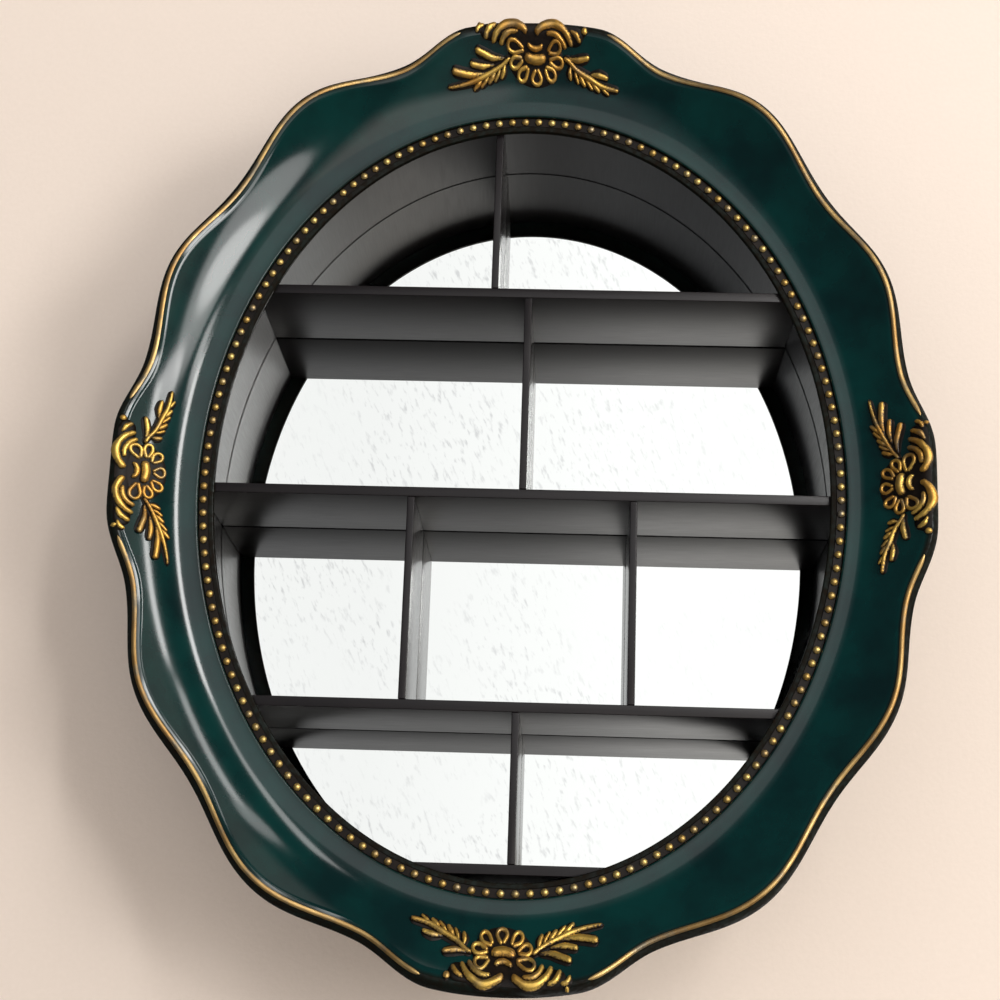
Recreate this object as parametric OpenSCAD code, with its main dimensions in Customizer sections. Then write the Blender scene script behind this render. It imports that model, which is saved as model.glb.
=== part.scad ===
// Oval shadow-box wall shelf: a scalloped frame moulding with beads and
// applied ornaments, on an oval case with a mirror, shelves and dividers.
// The wall plane is y = 0 and the front faces -Y. Sizes are millimetres.

/* [Opening] */
// Width of the oval opening at the frame's sight edge
opening_w = 373; // [350:1:400]
// Height of the oval opening at the frame's sight edge
opening_h = 473; // [450:1:500]

/* [Case] */
// How far the frame's lip covers the front edge of the case
lip_cover = 9; // [8.5:0.25:10]
// Extra cover of the lip at the top and bottom of the opening
end_cover = 1.3; // [0.5:0.1:2]
// Thickness of the bent case wall
case_wall_t = 5; // [4:0.25:6]
// Thickness of the back board
board_t = 9; // [8:0.5:12]
// Thickness of the mirror glass
mirror_t = 3; // [2:0.5:4]
// Depth of the shelves, front to back
shelf_depth = 78.5; // [60:0.5:100]
// Gap round boards and glass that drop into the case
fit_gap = 0.2; // [0.15:0.05:0.4]

/* [Shelves] */
// Thickness of the shelf boards
shelf_t = 6; // [5:0.25:8]
// Thickness of the upright dividers
divider_t = 4.5; // [4:0.25:6]
// Height of the middle shelf above the centre of the oval
middle_shelf_z = -3.4; // [-10:0.1:10]
// Distance from the middle shelf to those above and below, as a share of the opening's height
shelf_share = 0.2761; // [0.25:0.0001:0.285]
// Distance from the lower shelf to the base shelf, as a share of the opening's height
base_share = 0.2; // [0.18:0.001:0.207]
// Sideways place of the divider above the upper shelf
crown_divider_x = -20.3; // [-40:0.1:40]
// Sideways place of the single dividers in the second and last rows
single_divider_x = 1; // [-20:0.1:20]
// Distance between the two dividers of the third row
pair_spacing = 135; // [100:0.5:160]

/* [Frame] */
// Reach of the moulding from the sight edge to its rim at the sides
frame_reach = 60.6; // [56:0.2:66]
// Extra reach of the rim at the top, the bottom and the upper lobes
crown_reach = 3.6; // [0:0.2:5]
// Depth of the notches beside the side ornaments
side_notch = 7.8; // [4:0.2:10]
// Depth of the other notches between lobes
soft_notch = 6.5; // [3:0.2:9]
// Thickness of the lip at the sight edge
lip_t = 3.4; // [3:0.1:4.5]
// Height of the step outside the beads
step_h = 6; // [5:0.1:8]
// Height of the rim's crest in front of the case, where its reach is frame_reach
crest_h = 29; // [24:0.5:36]
// Height at which the rolled rim is widest
rim_h = 18; // [14:0.5:20]
// Distance of the gilt line from the rim
gilt_inset = 5.5; // [5:0.1:7]
// Height of the gilt line above the crest
gilt_h = 0.9; // [0.5:0.1:1.5]
// Width of the flat seat behind the lip
seat_w = 28; // [27:0.5:30]
// Wall of the hollow moulding
shell_t = 5; // [4:0.25:6]

/* [Beads] */
// Radius of a bead
bead_r = 2.45; // [2:0.05:2.5]
// Number of beads in the ring
bead_count = 160; // [120:1:165]
// Distance of the beads from the sight edge
bead_inset = 6.1; // [5.5:0.1:6.5]
// Width of the strip under the beads
strip_w = 5.6; // [5.2:0.1:6]
// Thickness of the strip under the beads
strip_t = 1.4; // [1.2:0.1:1.8]

/* [Ornaments] */
// Distance of the flower's centre from the rim at the sides
flower_from_rim = 20.1; // [18:0.1:22]
// Relief of the ornament above the moulding
relief_h = 3.2; // [2:0.1:4]

/* [Hangers] */
// Distance between the two keyhole plates
hanger_spacing = 254; // [200:1:280]
// Height of the keyhole plates above the centre of the oval
hanger_z = 140; // [100:1:150]
// Radius of the keyhole's round opening
keyhole_r = 4.75; // [4.5:0.05:5.2]
// Width of the keyhole's slot
key_slot_w = 4.5; // [4:0.1:5]

/* [Fixings] */
// Radius of the small screws' shanks
screw_r = 1.4; // [1.2:0.05:1.6]
// Radius of the shelf pins
pin_r = 0.7; // [0.6:0.05:0.9]
// Thickness of the corner brackets' steel
bracket_t = 1.5; // [1.2:0.1:2]
// Width of the corner brackets
bracket_w = 12; // [10:0.5:14]

/* [Hidden] */

open_a = opening_w / 2;
open_b = opening_h / 2;
case_a = open_a + lip_cover;
case_b = open_b + lip_cover + end_cover;
outer_a = case_a + case_wall_t;
outer_b = case_b + case_wall_t;
mirror_d = board_t + mirror_t;
case_depth = mirror_d + shelf_depth + fit_gap;
past = 1;

// Heights of the shelf boards' middles, from the top down
shelf_pitch = shelf_share * opening_h;
base_drop = base_share * opening_h;
shelf_z = [middle_shelf_z + shelf_pitch, middle_shelf_z, middle_shelf_z - shelf_pitch,
    middle_shelf_z - shelf_pitch - base_drop];

lacquer = "#0f3b38";
gilt = "#b58a3c";
black_brown = "#2a2522";
steel = "#9a9a96";
silver = "#cfd8d8";
hardboard = "#8a6f4d";

// The rim's reach beyond frame_reach at the lobes and notches of one quarter
rim_knots = [[0, 0], [5, 0.5], [14.5, -side_notch], [27, 0.5], [39.5, -soft_notch],
    [54.5, crown_reach], [69.5, -soft_notch], [80.5, crown_reach + 0.4], [90, crown_reach]];
stations = 120;
scoop_start = 12;
scoop_steps = 6;
scoop_power = 1.6;
crown_w = gilt_inset + 3.5;

// Roundings at the moulding's edges, the dip on both sides of the gilt line, its half width,
// the shoulder's distance from the rim and below the crest, and the rim's turn
lip_round = 0.8;
step_round = 1.2;
crown_dip = 1.2;
line_dip = [0.4, 0.5];
line_half = 1.6;
shoulder = [1.6, 3.2];
rim_turn = 0.3;
lip_points = 8;

// The gilt line's first and last angle in a quarter, and the angle over which it rises
line_from = 8;
line_to = 80;
line_ramp = 1.5;

// The outer wall's lean half way down and at the foot, and the hollow's room in its corners
wall_lean = [0.8, 2.4];
hollow_lean = 1.4;
hollow_drop = 3;
crown_room = 2.5;
seat_lean = 0.5;

function ease(s) = (1 - cos(180 * s)) / 2;
function folded(phi) = asin(abs(sin(phi)));
function knot_below(q) = max([for (k = [0 : len(rim_knots) - 2]) if (rim_knots[k][0] <= q + 0.001) k]);

// Reach of the moulding from the sight edge to the rim, by angle
function reach_at(phi) =
    let (q = folded(phi), k = knot_below(q), low = rim_knots[k], high = rim_knots[k + 1])
    frame_reach + low[1] + (high[1] - low[1]) * ease((q - low[0]) / (high[0] - low[0]));

// Height of the scoop at a distance u from the sight edge; it is the same all the way round
function scoop_h(u) =
    let (s = (u - scoop_start) / (frame_reach - crown_w - scoop_start))
    step_h + (crest_h - crown_dip - step_h) * pow(max(0, s), scoop_power);

// The crest is lower at the notches, where the rim cuts the scoop further in
function crest_at(reach) = scoop_h(reach - crown_w) + crown_dip;

// The gilt line stops beside each ornament
function gilt_rise(phi) =
    let (q = folded(phi))
    gilt_h * ease(max(0, min(1, (q - line_from) / line_ramp)))
        * ease(max(0, min(1, (line_to - q) / line_ramp)));

// Front of the moulding, from the sight edge to the widest point of the rim
function front_profile(phi) =
    let (reach = reach_at(phi), top = reach - crown_w, crest = crest_at(reach), rise = gilt_rise(phi))
    concat(
        [[0, 0], [0, lip_t - lip_round], [lip_round, lip_t],
            [bead_inset - strip_w / 2 - fit_gap, lip_t],
            [bead_inset - strip_w / 2 - fit_gap, lip_t - strip_t],
            [bead_inset + strip_w / 2 + fit_gap, lip_t - strip_t],
            [bead_inset + strip_w / 2 + fit_gap, step_h - step_round],
            [bead_inset + strip_w / 2 + step_round, step_h]],
        [for (i = [0 : scoop_steps]) let (u = scoop_start + (top - scoop_start) * i / scoop_steps)
            [u, scoop_h(u)]],
        [[reach - gilt_inset - line_half, crest - line_dip[0]], [reach - gilt_inset, crest + rise],
            [reach - gilt_inset + line_half, crest - line_dip[1]],
            [reach - shoulder[0], crest - shoulder[1]],
            [reach - rim_turn, (crest - shoulder[1] + rim_h) / 2], [reach, rim_h]]);

// Outer wall and hollow back of the moulding, from the rim to the seat
function back_profile(phi) =
    let (reach = reach_at(phi), mid = (seat_w + reach - crown_w - shell_t) / 2)
    [[reach - wall_lean[0], rim_h / 2], [reach - wall_lean[1], 0], [reach - wall_lean[1] - shell_t, 0],
        [reach - hollow_lean - shell_t, rim_h - hollow_drop],
        [reach - crown_w, crest_at(reach) - shell_t - crown_room],
        [mid, scoop_h(mid) - shell_t], [seat_w + seat_lean, scoop_h(seat_w) - shell_t],
        [seat_w, 0]];

function on_oval(phi, u, h) =
    [(open_a + u) * cos(phi), -(case_depth + h), (open_b + u) * sin(phi)];

// Skin over closed rings of points; each ring has the same count
module skin(rings, loop = false) {
    n = len(rings[0]);
    last = len(rings) - (loop ? 1 : 2);
    sides = [for (k = [0 : last]) for (i = [0 : n - 1])
        let (a = k * n + i, b = k * n + (i + 1) % n, k2 = (k + 1) % len(rings),
            c = k2 * n + (i + 1) % n, d = k2 * n + i)
        each [[a, b, c], [a, c, d]]];
    caps = loop ? [] : concat(
        [for (i = [1 : n - 2]) [0, i + 1, i]],
        [for (i = [1 : n - 2]) let (s = (len(rings) - 1) * n) [s, s + i, s + i + 1]]);
    polyhedron(points = [for (ring = rings) each ring], faces = concat(sides, caps));
}

// Oval outline; its start lies where no hole is drilled
module oval(a, b) {
    scale([a, b]) rotate(70) circle(r = 1, $fn = 360);
}

// The part of an upright outline's children that lies between two depths from the wall
module between_depths(a, b, from, to) {
    intersection() {
        translate([-a - past, -to, -b - past]) cube([2 * (a + past), to - from, 2 * (b + past)]);
        rotate([90, 0, 0]) translate([0, 0, from - past]) linear_extrude(to - from + 2 * past) children();
    }
}

// Solid with an oval outline between two depths from the wall
module oval_block(a, b, from, to) {
    between_depths(a, b, from, to) oval(a, b);
}

// Band between two ovals, drawn between two depths from the wall
module oval_band(outer, inner, from, to) {
    between_depths(outer[0], outer[1], from, to) difference() {
        oval(outer[0], outer[1]);
        oval(inner[0], inner[1]);
    }
}

// Direction of the case wall's outward normal at an angle
function normal_at(phi) = atan2(outer_a * sin(phi), outer_b * cos(phi));

// Children drawn with +X along the case wall's outward normal
module at_case_wall(phi) {
    translate([outer_a * cos(phi), 0, outer_b * sin(phi)]) rotate([0, -normal_at(phi), 0]) children();
}

// Angles of the fixings round the case
bracket_angles = [30, 90, 150, 210, 270, 330];
board_screw_angles = [0, 50, 90, 130, 180, 230, 270, 310];
hole_gap = 0.05;
bead_seat = 0.02;

// Screws: their heads' sizes, a round head's outline in shares, and their lengths
head_r = 2 * screw_r;
head_h = 1.5;
dome_h = 1.7;
dome = [[0, 1], [0.5, 0.94], [0.82, 0.65], [1, 0.12]];
board_screw_len = 15;
board_screw_sink = 0.4;
plate_screw_len = 6.5;
leg_screw_len = 5.5;
foot_screw_len = 7;

// Corner brackets: the leg lies on the case wall and the foot on the frame's seat
bracket_off = 0.15;
bracket_leg = 18;
bracket_foot = 13;
leg_screw_d = 12;
foot_screw_x = 8;

// Shelf pins
pin_len = 16;
pin_sink = 0.3;
pin_shares = [0.25, 0.75];

// Keyhole plates
plate_t = 1.6;
plate_w = 16;
plate_h = 46;
plate_corner = 3;
key_drop = 5;
key_rise = 9;
plate_screw_z = 18;
key_pocket_d = 6;
head_room = 1;

// Countersunk screw with its head's face at the origin, pointing along +Z
module countersunk(len, gap = 0) {
    lead = gap > 0 ? past : 0;
    rotate_extrude($fn = 32) polygon([[0, -lead], [head_r + gap, -lead], [head_r + gap, 0],
        [screw_r + gap, head_h], [screw_r + gap, len + gap], [0, len + gap]]);
}

// Round-headed screw with the underside of its head at the origin, pointing along +Z
module round_headed(len) {
    rotate_extrude($fn = 32) polygon(concat([for (d = dome) [head_r * d[0], -dome_h * d[1]]],
        [[head_r, 0], [screw_r, 0], [screw_r, len], [0, len]]));
}

// Straight hole for a screw's shank, pointing along +Z
module shank_hole(len) {
    translate([0, 0, -past]) cylinder(h = len + past + hole_gap, r = screw_r + hole_gap, $fn = 32);
}

// Places of a bracket's two screws, their tips pointing into the case wall and the frame
module at_leg_screw() {
    translate([bracket_off + bracket_t, leg_screw_d - case_depth, 0]) rotate([0, -90, 0]) children();
}
module at_foot_screw() {
    translate([foot_screw_x, bracket_t - case_depth, 0]) rotate([90, 0, 0]) children();
}

module at_board_screw(phi) {
    at_case_wall(phi) translate([-board_screw_sink, -board_t / 2, 0]) rotate([0, -90, 0]) children();
}

// Pins at the ends of a shelf whose middle is at height z
module at_pins(z) {
    x_out = outer_a * sqrt(1 - pow((abs(z) + pin_r) / outer_b, 2)) - pin_sink;
    for (side = [-1, 1]) for (share = pin_shares)
        translate([side * x_out, -(mirror_d + share * shelf_depth), z]) rotate([0, -side * 90, 0]) children();
}

module pin_holes(z) {
    at_pins(z) translate([0, 0, -2 * case_wall_t])
        cylinder(h = pin_len + 2 * case_wall_t + hole_gap, r = pin_r + hole_gap, $fn = 24);
}

module frame_moulding() {
    color(lacquer) difference() {
        skin([for (k = [0 : stations - 1]) let (phi = 360 * k / stations)
            [for (p = concat(front_profile(phi), back_profile(phi))) on_oval(phi, p[0], p[1])]], true);
        for (phi = bracket_angles) at_case_wall(phi) at_foot_screw() shank_hole(foot_screw_len);
    }
}

// A parameter angle that spaces the beads evenly along their oval
function bead_angle(k) =
    let (t = 360 * (k + 0.5) / bead_count, a = open_a + bead_inset, b = open_b + bead_inset,
        swing = (b * b - a * a) / (b * b + a * a) * 45 / PI)
    t - swing * sin(2 * t);

module bead_strip() {
    near = bead_inset - strip_w / 2;
    far = bead_inset + strip_w / 2;
    color(black_brown) oval_band([open_a + far, open_b + far], [open_a + near, open_b + near],
        case_depth + lip_t - strip_t, case_depth + lip_t);
}

// Domed beads spaced along the strip
module beads() {
    color(gilt) for (k = [0 : bead_count - 1])
        translate(on_oval(bead_angle(k), bead_inset, lip_t + bead_seat)) rotate([90, 0, 0])
            rotate_extrude($fn = 24) intersection() {
                circle(r = bead_r, $fn = 24);
                square(bead_r);
            }
}

module case_wall() {
    color(black_brown) difference() {
        oval_band([outer_a, outer_b], [case_a, case_b], 0, case_depth);
        for (phi = bracket_angles) at_case_wall(phi) at_leg_screw() shank_hole(leg_screw_len);
        for (phi = board_screw_angles) at_board_screw(phi) countersunk(board_screw_len, hole_gap);
        for (k = [0 : 2]) pin_holes(shelf_z[k]);
    }
}

module mirror_glass() {
    color(silver) oval_block(case_a - 2 * fit_gap, case_b - 2 * fit_gap, board_t, mirror_d);
}

// Space between the mirror and the frame's lip, inside the case wall
module case_room() {
    oval_block(case_a - fit_gap, case_b - fit_gap, mirror_d, case_depth - fit_gap);
}

// Shelf board, numbered from the top down
module shelf(k) {
    color(black_brown) difference() {
        intersection() {
            case_room();
            translate([-case_a, -case_depth, shelf_z[k] - shelf_t / 2])
                cube([2 * case_a, case_depth, shelf_t]);
        }
        if (k < 3) pin_holes(shelf_z[k]);
    }
}

// Upright board at x, from the shelf numbered below up to the one above, or to the case wall
module divider(x, above, below) {
    top = above < 0 ? case_b : shelf_z[above] - shelf_t / 2 - fit_gap;
    foot = shelf_z[below] + shelf_t / 2 + fit_gap;
    color(black_brown) intersection() {
        case_room();
        translate([x - divider_t / 2, -case_depth, foot]) cube([divider_t, case_depth, top - foot]);
    }
}

module back_board() {
    color(hardboard) difference() {
        oval_block(case_a - fit_gap, case_b - fit_gap, 0, board_t);
        for (side = [-1, 1]) at_hanger(side) {
            translate([0, past, 0]) plate_block(plate_t + past, fit_gap);
            key_pocket();
            at_plate_screws() countersunk(plate_screw_len, hole_gap);
        }
        for (phi = board_screw_angles) at_board_screw(phi) countersunk(board_screw_len, hole_gap);
    }
}

module at_hanger(side) {
    translate([side * hanger_spacing / 2, 0, hanger_z]) children();
}

module at_plate_screws() {
    for (z = [-plate_screw_z, plate_screw_z]) translate([0, 0, z]) rotate([90, 0, 0]) children();
}

module plate_block(t, grow) {
    rotate([90, 0, 0]) linear_extrude(t) rounded_plate(plate_w + 2 * grow, plate_h + 2 * grow, plate_corner + grow);
}

module rounded_plate(w, h, r) {
    square([w - 2 * r, h], center = true);
    square([w, h - 2 * r], center = true);
    for (x = [-1, 1]) for (z = [-1, 1]) translate([x * (w / 2 - r), z * (h / 2 - r)]) circle(r = r, $fn = 32);
}

// Keyhole: a round opening with a slot above it
module keyhole(r, w) {
    translate([0, -key_drop]) circle(r = r, $fn = 64);
    translate([-w / 2, -key_drop]) square([w, key_drop + key_rise - w / 2]);
    translate([0, key_rise - w / 2]) circle(r = w / 2, $fn = 48);
}

// Room behind the plate for the head of the wall screw
module key_pocket() {
    wide = keyhole_r + head_room;
    rotate([90, 0, 0]) linear_extrude(key_pocket_d) {
        translate([0, -key_drop]) circle(r = wide, $fn = 48);
        translate([-wide, -key_drop]) square([2 * wide, key_drop + key_rise - wide]);
        translate([0, key_rise - wide]) circle(r = wide, $fn = 48);
    }
}

module hanger(side) {
    color(steel) at_hanger(side) difference() {
        plate_block(plate_t, 0);
        translate([0, past, 0]) rotate([90, 0, 0]) linear_extrude(plate_t + 2 * past)
            keyhole(keyhole_r, key_slot_w);
        at_plate_screws() countersunk(plate_screw_len, hole_gap);
    }
}

module hanger_screws() {
    color(steel) for (side = [-1, 1]) at_hanger(side) at_plate_screws() countersunk(plate_screw_len);
}

module corner_brackets() {
    color(steel) for (phi = bracket_angles) at_case_wall(phi) difference() {
        translate([bracket_off, -case_depth, -bracket_w / 2]) union() {
            cube([bracket_t, bracket_leg, bracket_w]);
            cube([bracket_foot, bracket_t, bracket_w]);
        }
        at_leg_screw() shank_hole(leg_screw_len);
        at_foot_screw() shank_hole(foot_screw_len);
    }
}

module bracket_case_screws() {
    color(steel) for (phi = bracket_angles) at_case_wall(phi) at_leg_screw() round_headed(leg_screw_len);
}

module bracket_frame_screws() {
    color(steel) for (phi = bracket_angles) at_case_wall(phi) at_foot_screw() round_headed(foot_screw_len);
}

module board_screws() {
    color(steel) for (phi = board_screw_angles) at_board_screw(phi) countersunk(board_screw_len);
}

module shelf_pins() {
    color(steel) for (k = [0 : 2]) at_pins(shelf_z[k]) cylinder(h = pin_len, r = pin_r, $fn = 24);
}

// The ornaments are drawn flat, s along the rim and t outwards from the flower's centre, in
// millimetres, and laid on the moulding. Strokes are lists of a start, a bend point and an end.
seat_lift = 0.35;
scrolls = [[[-6, 10], [-19, 19], [-28.5, 3.4]], [[-11, 10.6], [-20, 11.5], [-23.2, 3.2]],
    [[-2, 10], [10, 21], [22.3, 5.4]], [[5, 10.4], [13.5, 13.8], [18.6, 4.4]]];
shell_ribs = [[[-25.5, 12], [-31, 11], [-33.5, 4.8]], [[-33, 11], [-37, 10.5], [-38.6, 6.8]],
    [[21, 12.4], [25.6, 11.4], [27.8, 7.6]]];
fronds = [[[16, 0.5], [30, -5], [53, -12.2]], [[19, 0.8], [27, 0], [34.6, 1.4]],
    [[33, -5], [40, -5.2], [46.4, -7.2]], [[22, -2], [20.8, -5.4], [22.2, -9]],
    [[26.5, -4], [28, -7.6], [31.8, -11.2]], [[34, -7], [36.4, -10.4], [41.2, -13.2]],
    [[-16, -0.6], [-30, -7], [-57, -17.6]], [[-20, -1.6], [-30, -3.4], [-40.4, 0]],
    [[-27, -5], [-35, -7], [-43.6, -6]], [[-31, -8.8], [-42, -11.4], [-55, -10.2]],
    [[-19.6, -2.4], [-19.8, -6.6], [-22.8, -11.2]], [[-25.6, -5.6], [-27, -10], [-31.2, -13.8]],
    [[-33, -9.8], [-35.6, -13.4], [-40.6, -17.4]]];
end_dots = [[30, 12.5], [-36.6, 12.4]];
petals = [[[6.4, 3], [15.2, 6.2]], [[7.2, -1.2], [16.4, -1.8]], [[5, -3.8], [11.6, -8.6]],
    [[0, -5.2], [0.3, -11.8]], [[-5.2, -4.2], [-10.8, -9.8]], [[-8.4, -1.4], [-16.4, -4]],
    [[-8, 3], [-18.8, 4.6]]];
flower_bar = [[-7.2, 0.2], [-1, -1.2], [5.2, 0.2]];
flower_cup = [[-6, 6.4], [-1.2, 1.8], [3.6, 6.4]];
rim_band = [[-40, 8], [-4, 13.5], [32.5, 10.6]];
shield = [19, 12.6];
shield_t = 0.9;
shield_sides = 16;
bar_w = 2.9;
cup_w = 1.6;
petal_w = 2.7;
scroll_w = 1.9;
rib_w = 1.5;
frond_w = 1.6;
dot_w = 1.7;
band_w = 3.6;
low_relief = 0.8 * relief_h;

// How each ornament was bent on to the moulding, right, top, left and bottom in turn: how far
// it was set along the rim and outwards, its stretch outwards, how much its far end droops, and
// the extra height of its seat where it rides over the crown
ornament_sets = [[-0.8, 0, 1, 0, 0], [2.2, crown_reach - 0.6, 1.1, 0.07, 0.35], [0, 0, 1, 0, 0],
    [1.9, 1.2, 1.15, 0.07, 0.1]];

function bend(path, s) = path[0] * (1 - s) * (1 - s) + path[1] * 2 * s * (1 - s) + path[2] * s * s;

// Distance u from the sight edge at a place on the front, by a few steps of approach
function reach_of(x, z, u = 40, left = 4) = left == 0 ? u :
    let (a = open_a + u, b = open_b + u, q = sqrt(x * x / a / a + z * z / b / b))
    reach_of(x, z, u + (q - 1) * q / (x * x / a / a / a + z * z / b / b / b), left - 1);

// Height of the moulding's front at x, z
function front_at(x, z) =
    let (u = reach_of(x, z), phi = atan2(z / (open_b + u), x / (open_a + u)), p = front_profile(phi))
    lookup(u, [for (k = [lip_points : len(p) - 1]) p[k]]);

// Point at height h over the moulding, for an ornament turned to an angle
function over_front(turn, s, t, h) =
    let (set = ornament_sets[turn / 90], along = s + set[0],
        far = (turn % 180 == 0 ? open_a : open_b) + frame_reach - flower_from_rim
            + t * set[2] + set[1] - along * set[3],
        x = along * sin(turn) + far * cos(turn), z = far * sin(turn) - along * cos(turn),
        y = front_at(x, z), slope_x = front_at(x + 1, z) - y, slope_z = front_at(x, z + 1) - y,
        n = norm([slope_x, 1, slope_z]), rise = h + set[4])
    [x - slope_x * rise / n, -(case_depth + y) - rise / n, z - slope_z * rise / n];

// A ridged stroke along a path; swell holds its share of the full width at each ring, and a
// wide stroke also has a middle line underneath, to follow the moulding
module stroke(turn, path, w, h, swell, lift = seat_lift + 0.15, wide = false) {
    last = len(swell) - 1;
    skin([for (i = [0 : last])
        let (s = i / last, p = bend(path, s), ahead = bend(path, s + 0.05) - bend(path, s - 0.05),
            side = [ahead[1], -ahead[0]] / norm(ahead) * w * swell[i], l = p + side, r = p - side)
        [over_front(turn, l[0], l[1], lift), over_front(turn, p[0], p[1], lift + h * swell[i]),
            over_front(turn, r[0], r[1], lift), if (wide) over_front(turn, p[0], p[1], lift)]]);
}

module shield_plate(turn) {
    step = 360 / shield_sides;
    skin([for (layer = [[0.05, 0], [0.5, 0], [1, 0], [0.94, shield_t], [0.5, shield_t], [0.05, shield_t]])
        [for (k = [0 : shield_sides - 1]) over_front(turn, shield[0] * layer[0] * cos(step * k),
            -shield[1] * layer[0] * sin(step * k), seat_lift + layer[1])]]);
}

// Each frond's lift differs a little, so that crossing strokes don't share an edge
module ornament(turn) {
    color(gilt) {
        shield_plate(turn);
        stroke(turn, rim_band, band_w, shield_t, [0.4, 1, 1, 1, 1, 1, 0.4], seat_lift + 0.05, true);
        stroke(turn, flower_bar, bar_w, relief_h + 1, [0.5, 0.95, 1, 0.95, 0.5]);
        stroke(turn, flower_cup, cup_w, relief_h, [0.3, 1, 1, 1, 0.3]);
        for (p = petals) stroke(turn, [p[0], (p[0] + p[1]) / 2, p[1]], petal_w, low_relief, [0.3, 0.85, 1, 0.4]);
        for (path = scrolls)
            stroke(turn, path, scroll_w, relief_h, [0.4, 0.8, 1, 1, 1, 0.9, 0.5], seat_lift + shield_t / 2);
        for (path = shell_ribs) stroke(turn, path, rib_w, low_relief, [0.3, 0.8, 1, 0.4]);
        for (k = [0 : len(fronds) - 1])
            stroke(turn, fronds[k], frond_w, low_relief, [0.4, 0.8, 1, 0.35], seat_lift + 0.12 * (1 + k % 3));
        for (p = end_dots) stroke(turn, [p - [2, 0], p, p + [2, 0]], dot_w, relief_h * 0.6, [0.3, 1, 1, 0.3]);
    }
}

frame_moulding();
bead_strip();
beads();
ornament(90);  // ornament_top
ornament(0);  // ornament_right
ornament(270);  // ornament_bottom
ornament(180);  // ornament_left
case_wall();
mirror_glass();
shelf(0);  // shelf_upper
shelf(1);  // shelf_middle
shelf(2);  // shelf_lower
shelf(3);  // shelf_base
divider(crown_divider_x, -1, 0);  // divider_crown
divider(single_divider_x, 0, 1);  // divider_upper
divider(single_divider_x - pair_spacing / 2, 1, 2);  // divider_lower_left
divider(single_divider_x + pair_spacing / 2, 1, 2);  // divider_lower_right
divider(single_divider_x, 2, 3);  // divider_base
back_board();
hanger(-1);  // hanger_left
hanger(1);  // hanger_right
hanger_screws();
corner_brackets();
bracket_case_screws();
bracket_frame_screws();
board_screws();
shelf_pins();
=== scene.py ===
from math import acos, asin, atan2, cos, degrees, pi, radians, sin, sqrt

import bmesh
import bpy
from mathutils import Matrix, Vector


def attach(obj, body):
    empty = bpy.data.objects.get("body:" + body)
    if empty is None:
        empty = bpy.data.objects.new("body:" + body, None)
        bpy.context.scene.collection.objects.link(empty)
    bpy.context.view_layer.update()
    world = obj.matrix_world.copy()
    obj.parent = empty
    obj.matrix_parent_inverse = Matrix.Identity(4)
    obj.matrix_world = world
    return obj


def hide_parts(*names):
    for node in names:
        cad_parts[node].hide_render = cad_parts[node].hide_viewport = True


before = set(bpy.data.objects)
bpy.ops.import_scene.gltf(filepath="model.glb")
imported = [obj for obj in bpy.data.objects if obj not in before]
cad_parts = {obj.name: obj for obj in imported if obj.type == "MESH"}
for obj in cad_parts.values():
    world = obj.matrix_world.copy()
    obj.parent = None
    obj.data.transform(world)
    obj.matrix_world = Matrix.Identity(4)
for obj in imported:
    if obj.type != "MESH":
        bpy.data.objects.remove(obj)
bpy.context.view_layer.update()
scene = bpy.context.scene
mm = 0.001

# The shelf hangs on the wall plane y = 0 and faces -Y; sizes below are millimetres, as in the frame
shelf = {"openA": 186.5, "openB": 236.5, "caseA": 195.5, "caseB": 246.8, "wall": 5.0, "caseDepth": 90.7,
         "board": 9.0, "mirrorFront": 12.0, "gap": 0.2}


def toLinear(hexColour):
    parts = [int(hexColour[i:i + 2], 16) / 255 for i in (1, 3, 5)]
    return tuple(p / 12.92 if p <= 0.04045 else ((p + 0.055) / 1.055) ** 2.4 for p in parts) + (1.0,)


def addNode(material, kind, inputs=(), **settings):
    # inputs go by name, number or order; each is a value, an output, or a node, for its first output
    node = material.node_tree.nodes.new("ShaderNode" + kind)
    for name, value in settings.items():
        setattr(node, name, value)
    named = dict(enumerate(inputs)) if isinstance(inputs, tuple) else inputs
    for socket, value in named.items():
        source = value.outputs[0] if isinstance(value, bpy.types.Node) else value
        if isinstance(source, bpy.types.NodeSocket):
            material.node_tree.links.new(source, node.inputs[socket])
        else:
            node.inputs[socket].default_value = value
    return node


def newMaterial(name):
    material = bpy.data.materials.new(name)
    material.use_nodes = True
    material.node_tree.nodes.clear()
    return material


def finishMaterial(material, **sockets):
    # the surface shader; keys are the sockets' names with _ for a space
    shader = addNode(material, "BsdfPrincipled", {k.replace("_", " "): v for k, v in sockets.items()})
    addNode(material, "OutputMaterial", {"Surface": shader})
    return material


def speckle(material, featureMm, detail=3.0, roughness=0.55, stretch=(1, 1, 1)):
    # a cloudy pattern in the object's own place, its features about featureMm across
    place = addNode(material, "TexCoord").outputs["Object"]
    mapped = addNode(material, "Mapping", {"Vector": place, "Scale": stretch})
    size = {"Scale": 1 / (featureMm * mm), "Detail": detail, "Roughness": roughness}
    return addNode(material, "TexNoise", {"Vector": mapped, **size})


# Polyurethane lacquer sprayed over a moulded frame: deep, wet gloss with faint orange peel
lacquerSet = {"green": "#00312f", "deep": "#002021", "glazeAndShade": "#1b140e", "cloudMm": 38, "glazeAndShadeMm": 3,
              "peelMm": 2.2, "peelDepthMm": 0.012}


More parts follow.
